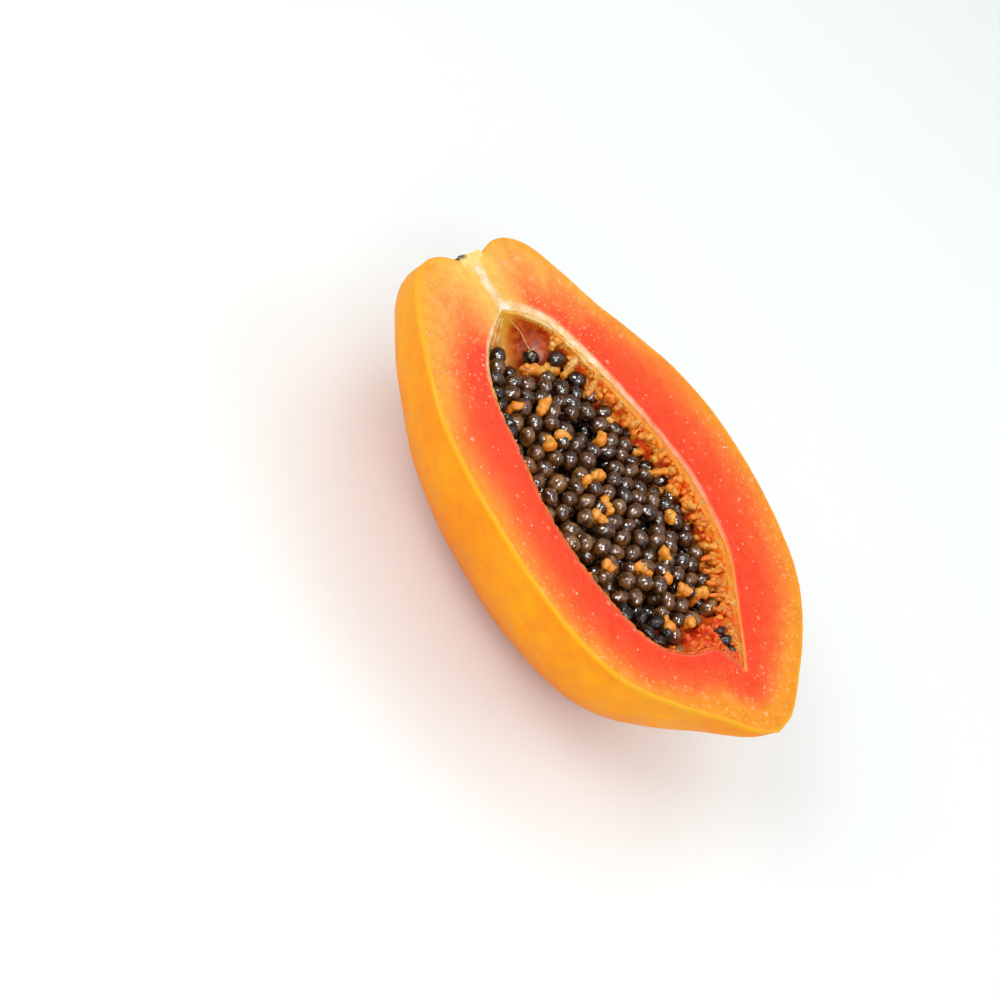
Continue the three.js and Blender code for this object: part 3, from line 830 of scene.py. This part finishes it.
def seedCentres():
    # layers of jittered rows, then pushed apart until they only just touch
    places, spacing, jitter = [], seedLook["spacing"], seedLook["jitter"]
    for layer in range(seedLook["layers"]):
        for row in range(-10, 11):
            for column in range(-13, 14):
                x = (column + (row % 2) / 2 + layer * 0.33) * spacing + random.uniform(-1, 1) * jitter
                y = -3 + (row + layer * 0.5) * spacing * 0.866 + random.uniform(-1, 1) * jitter
                depth = bedHeight(x, y) - layer * seedLook["layerDrop"]
                depth += random.uniform(-1, 1) * seedLook["unevenness"]
                share, across = acrossHollow(x, y)
                farY, nearY = hollowRims(share)
                wall = halfShape["hollowDepth"] * (farY - nearY) / 2
                room = across ** 2 + (depth / max(wall - 3.4, 1)) ** 2
                inside = seedLook["stalkEnd"] < x < seedLook["blossomEnd"]
                if not inside or abs(across) > seedLook["acrossLimit"] or room > seedLook["roomLimit"]:
                    continue
                if layer == 0 and random.random() < seedLook["missing"]:
                    continue
                places.append((x, y, depth - 1.4))
    places = np.array(places)
    home = places.copy()
    for _ in range(seedLook["settleSteps"]):
        gap = places[:, None] - places[None]
        far = np.linalg.norm(gap, axis=2) + np.eye(len(places)) * 1e3
        push = np.clip(seedLook["apart"] - far, 0, 2)[..., None] * gap / far[..., None]
        places += 0.22 * push.sum(axis=1) + 0.05 * (home - places)
        places[:, 2] = np.minimum(places[:, 2], seedLook["highest"])
    return [Vector(p) for p in places]


def seedMaterial():
    material, tree, shader, where = newMaterial("wetSeedCoat", {
        "Roughness": 0.3, "Specular IOR Level": 0.15,
        "Coat Weight": 1.0, "Coat Roughness": 0.05, "Coat IOR": 1.42,
        "Subsurface Weight": 0.06, "Subsurface Radius": (0.8, 0.5, 0.25), "Subsurface Scale": 0.001})
    cloud = cloudy(tree, where, 420)
    sway = maths(tree, "MULTIPLY_ADD", cloud, 0.5, -0.25)
    tone = maths(tree, "ADD", attributeOf(tree, "tone"), sway)
    body = rampOf(tree, tone, [(0.0, (16, 6, 1)), (0.35, (58, 28, 5)), (0.65, (104, 62, 20)),
                               (1.0, (152, 106, 50))])
    dressed(tree, shader, body, spread(tree, cloud, 0, 1, 0.16, 0.34))
    slow = noiseOf(tree, where, 520, 2, 0.6)
    bumped(tree, shader, mixValues(tree, 0.45, slow, grainy(tree, where, 1500)), 0.6, 0.0007)
    bumped(tree, shader, slow, 0.6, 0.0006, "Coat Normal")
    return material


def drySeedMaterial():
    material, tree, shader, where = newMaterial("drySeedSkin", {
        "Roughness": 0.36, "Specular IOR Level": 0.15,
        "Coat Weight": 0.35, "Coat Roughness": 0.1, "Coat IOR": 1.4})
    wrinkle = noiseOf(tree, where, 620, 3, 0.8)
    body = rampOf(tree, wrinkle, [(0.35, (14, 6, 4)), (0.55, (38, 19, 12)), (0.72, (84, 52, 38))])
    dressed(tree, shader, body, spread(tree, wrinkle, 0.3, 0.7, 0.26, 0.5))
    bumped(tree, shader, wrinkle, 1.0, 0.0012)
    return material


def oneSeed():
    # the few-sided ball that every wet seed is shaped from
    bm = newParts()
    bmesh.ops.create_uvsphere(bm, u_segments=9, v_segments=6, radius=1)
    mesh = bpy.data.meshes.new("seedBall")
    bm.to_mesh(mesh)
    bm.free()
    return mesh


def makeSeeds():
    bm = newParts()
    ball = oneSeed()
    dry = [Vector(p[:2]) for p in seedLook["drySeeds"]]
    places = [p for p in seedCentres()
              if all((p.xy - d).length > seedLook["dryGap"] or p.z < seedLook["deep"] for d in dry)]
    glossy = [Vector(p) for p in seedLook["glossySeeds"]]
    places = [p for p in places if all((p - g).length > seedLook["glossyGap"] for g in glossy)]
    for centre in places + glossy:
        firstVert = len(bm.verts)
        bm.from_mesh(ball)
        bm.verts.ensure_lookup_table()
        verts = bm.verts[firstVert:]
        wide = random.uniform(*seedLook["wide"])
        size = (wide, wide * random.uniform(0.9, 1.05), random.uniform(*seedLook["long"]))
        turn = randomTurn()
        for vert in verts:
            x, y, z = vert.co
            taper = 1 - 0.12 * z
            vert.co = turn @ Vector((x * size[0] * taper, y * size[1] * taper, z * size[2])) + centre
        across = acrossHollow(centre.x, centre.y)[1]
        # paler coats on the near side; darker deep down, which is painted shade, and the glossy black
        # seeds darker in their own colour
        lighter = 0.2 * ease(-across, 0.0, 0.8) + 0.12 * ease(centre.x, 10, 45)
        darker = 0.08 * max(0, -8.5 - centre.z) + (0.3 if centre in glossy else 0)
        paint(bm, verts, random.triangular(0.15, 0.7, 0.4) + lighter - darker)
    bpy.data.meshes.remove(ball)
    finishPiece("wetSeeds", bm, [seedMaterial()], ["seeds"])
    print(len(places), "wet seeds")


def makeDrySeeds():
    bm = bmesh.new()
    for x, y, lift, small in seedLook["drySeeds"]:
        centre = Vector((x, y, bedHeight(x, y) + lift))
        size = [random.uniform(*span) * small for span in seedLook["dryRadii"]]
        centre.z = min(centre.z, -max(size) - 0.2)
        lump(bm, centre, size, 0.2, 3)
    finishPiece("drySeeds", bm, [drySeedMaterial()], ["seeds"])


makeSeeds()
makeDrySeeds()

# stub of the stalk
stubLook = {
    "y": 0.4, "outer": 5.8, "root": 6.9, "from": -93.9, "to": -87.6, "sides": 60, "rings": 14,
    "insets": [(1.2, -0.3), (2.2, -0.9)], "ridges": 5, "worn": 0.032,
}


def stubMaterial():
    material, tree, shader, where = newMaterial("stalkStub", {"Roughness": 0.62})
    cloud = cloudy(tree, where, 300)
    x, y, z = [axisOf(tree, where, axis) for axis in "XYZ"]
    sway = maths(tree, "MULTIPLY_ADD", cloud, 0.006, x)
    body = rampOf(tree, spread(tree, sway, -0.0955, -0.084), [
        (0.0, (110, 80, 42)), (0.25, (178, 162, 70)), (0.5, (214, 202, 110)), (1.0, (240, 224, 150))])
    face = rampOf(tree, spread(tree, sway, -0.0935, -0.086), [
        (0.0, (196, 190, 84)), (0.35, (236, 218, 126)), (0.85, (250, 214, 118))])
    body = mixColours(tree, spread(tree, z, 0.0583, 0.0588), body, face)
    # one dark corner, on the near side of the free end
    nearSide = spread(tree, y, -0.0022, -0.0044)
    freeEnd = spread(tree, x, -0.0898, -0.0914)
    dark = maths(tree, "MULTIPLY", nearSide, freeEnd)
    body = mixColours(tree, dark, body, colour(96, 66, 36))
    dressed(tree, shader, body, spread(tree, cloud, 0, 1, 0.5, 0.75))
    bumped(tree, shader, grainy(tree, where, 1200), 0.8, 0.0006)
    return material


def makeStub():
    bm = bmesh.new()
    length = stubLook["to"] - stubLook["from"]
    bmesh.ops.create_cone(bm, cap_ends=True, segments=stubLook["sides"],
                          radius1=stubLook["root"], radius2=stubLook["outer"], depth=length)
    longEdges = [e for e in bm.edges if abs(e.verts[0].co.z - e.verts[1].co.z) > length / 2]
    bmesh.ops.subdivide_edges(bm, edges=longEdges, cuts=stubLook["rings"])
    top = max(bm.faces, key=lambda f: f.calc_center_median().z)
    for thickness, depth in stubLook["insets"]:
        bmesh.ops.inset_individual(bm, faces=[top], thickness=thickness, depth=depth)
    for vert in bm.verts:
        angle = math.atan2(vert.co.y, vert.co.x)
        ridge = 1 + 0.06 * math.cos(stubLook["ridges"] * angle) + 0.05 * noise.noise(vert.co * 0.7)
        outward = vert.co.z / length + 0.5
        corner = stubLook["worn"] * vert.co.y ** 2 * ease(outward, 0.5, 1)  # the free end is worn round
        vert.co = Vector((vert.co.x * ridge, vert.co.y * ridge * (1 - 0.12 * outward),
                          vert.co.z + 0.4 * noise.noise(vert.co * 0.8) - corner))
    middle = (mix(stubLook["from"], stubLook["to"], 0.5), stubLook["y"], 0)
    turn = Matrix.Translation(middle) @ Matrix.Rotation(-math.pi / 2, 4, "Y")
    bmesh.ops.transform(bm, matrix=turn, verts=bm.verts)
    cut = bmesh.ops.bisect_plane(bm, geom=bm.verts[:] + bm.edges[:] + bm.faces[:], plane_co=(0, 0, -0.1),
                                 plane_no=(0, 0, 1), clear_outer=True)
    rim = [e for e in cut["geom_cut"] if isinstance(e, bmesh.types.BMEdge)]
    bmesh.ops.contextual_create(bm, geom=rim)
    finishPiece("stalkStub", bm, [stubMaterial()], ["stalk_stub"], 40)


makeStub()

# small drops of juice on the cut face
dropLook = {"count": 170, "radius": (0.2, 0.5), "flatness": 0.26, "sunk": -0.13, "widest": 45}


def dropMaterial():
    material, tree, shader, where = newMaterial("juiceDrop", {
        "Roughness": 0.12, "Coat Weight": 0.5, "Coat Roughness": 0.05, "Subsurface Weight": 0.3,
        "Subsurface Radius": (1.0, 0.5, 0.3), "Subsurface Scale": 0.001})
    cloud = cloudy(tree, where, 90)
    body = rampOf(tree, cloud, [(0.0, (253, 172, 124)), (1.0, (255, 212, 174))])
    dressed(tree, shader, body, spread(tree, cloud, 0, 1, 0.1, 0.2))
    return material


def makeDrops():
    bm = bmesh.new()
    placed = 0
    flat = Matrix.Diagonal((1, 1, dropLook["flatness"], 1))
    while placed < dropLook["count"]:
        share, side = random.random(), random.random() < 0.5
        angle = 0 if side else math.pi
        across = random.random() ** 1.35  # more of them towards the rind
        outer, inner = rindPoint(share, angle), hollowPoint(share, angle)
        if random.random() > (outer - inner).length / dropLook["widest"]:
            continue
        point = outer.lerp(inner, 0.06 + 0.86 * across)
        radius = random.uniform(*dropLook["radius"]) * random.choice((0.7, 0.8, 1.0, 1.0, 1.25))
        made = bmesh.ops.create_icosphere(bm, subdivisions=1, radius=radius)
        place = Matrix.Translation((point.x, point.y, dropLook["sunk"]))
        bmesh.ops.transform(bm, matrix=place @ flat, verts=made["verts"])
        placed += 1
    finishPiece("juiceDrops", bm, [dropMaterial()], [])


makeDrops()

# floor, light and camera
studio = {
    "floor": 4.0, "floorColour": (245, 251, 251), "world": 0.5,
    "camera": (0.0756, -0.4580, 0.4632), "lens": 67.56,
    "right": (0.54226, 0.64864, 0.53406), "down": (0.82686, -0.2991, -0.47628),
    "forward": (-0.1492, 0.69986, -0.69853),
    "lights": [  # place, power, size
        ((-0.65, -0.7, 0.85), 4.9, 0.7),
        ((0.55, -0.8, 0.85), 4.2, 0.7),
        ((0.6, 0.6, 0.95), 3.0, 0.8),
        ((-0.35, 0.5, 1.1), 2.4, 0.7),
    ],
    "sparkles": [  # small bright lights that only wet surfaces reflect: place, power, size
        ((-0.5, -0.45, 0.8), 11.0, 0.26),
        ((0.45, -0.5, 0.85), 9.5, 0.24),
        ((0.05, -0.15, 1.05), 9.5, 0.24),
    ],
}


def makeStudio():
    bm = bmesh.new()
    bmesh.ops.create_grid(bm, x_segments=4, y_segments=4, size=studio["floor"] / 2)
    mesh = bpy.data.meshes.new("floor")
    bm.to_mesh(mesh)
    bm.free()
    floor = bpy.data.objects.new("floor", mesh)
    bpy.context.scene.collection.objects.link(floor)
    finish = {"Roughness": 0.85, "Base Color": colour(*studio["floorColour"])}
    mesh.materials.append(newMaterial("paleFloor", finish)[0])

    world = bpy.data.worlds.new("softWhite")
    bpy.context.scene.world = world
    world.use_nodes = True
    background = world.node_tree.nodes["Background"].inputs
    background["Color"].default_value = (1, 1, 1, 1)
    background["Strength"].default_value = studio["world"]

    softboxes = [(f"softbox{i}", *values, True) for i, values in enumerate(studio["lights"])]
    sparkles = [(f"sparkle{i}", *values, False) for i, values in enumerate(studio["sparkles"])]
    for name, place, power, size, lightsAll in softboxes + sparkles:
        light = bpy.data.lights.new(name, "AREA")
        light.energy, light.size = power, size
        lamp = bpy.data.objects.new(name, light)
        lamp.location = place
        lamp.rotation_euler = (Vector((0, 0, 0.04)) - Vector(place)).to_track_quat("-Z", "Y").to_euler()
        lamp.visible_diffuse = lightsAll
        bpy.context.scene.collection.objects.link(lamp)

    lens = bpy.data.cameras.new("camera")
    lens.lens, lens.sensor_width, lens.clip_end = studio["lens"], 36, 20
    camera = bpy.data.objects.new("camera", lens)
    axes = [Vector(studio["right"]), -Vector(studio["down"]), -Vector(studio["forward"])]
    turn = Matrix(axes).transposed().to_4x4()
    camera.matrix_world = Matrix.Translation(studio["camera"]) @ turn
    bpy.context.scene.collection.objects.link(camera)
    bpy.context.scene.camera = camera
    # the colours as painted, and a floor near white
    bpy.context.scene.view_settings.view_transform = "Standard"
    bpy.context.scene.view_settings.look = "None"
    print("studio set")


makeStudio()
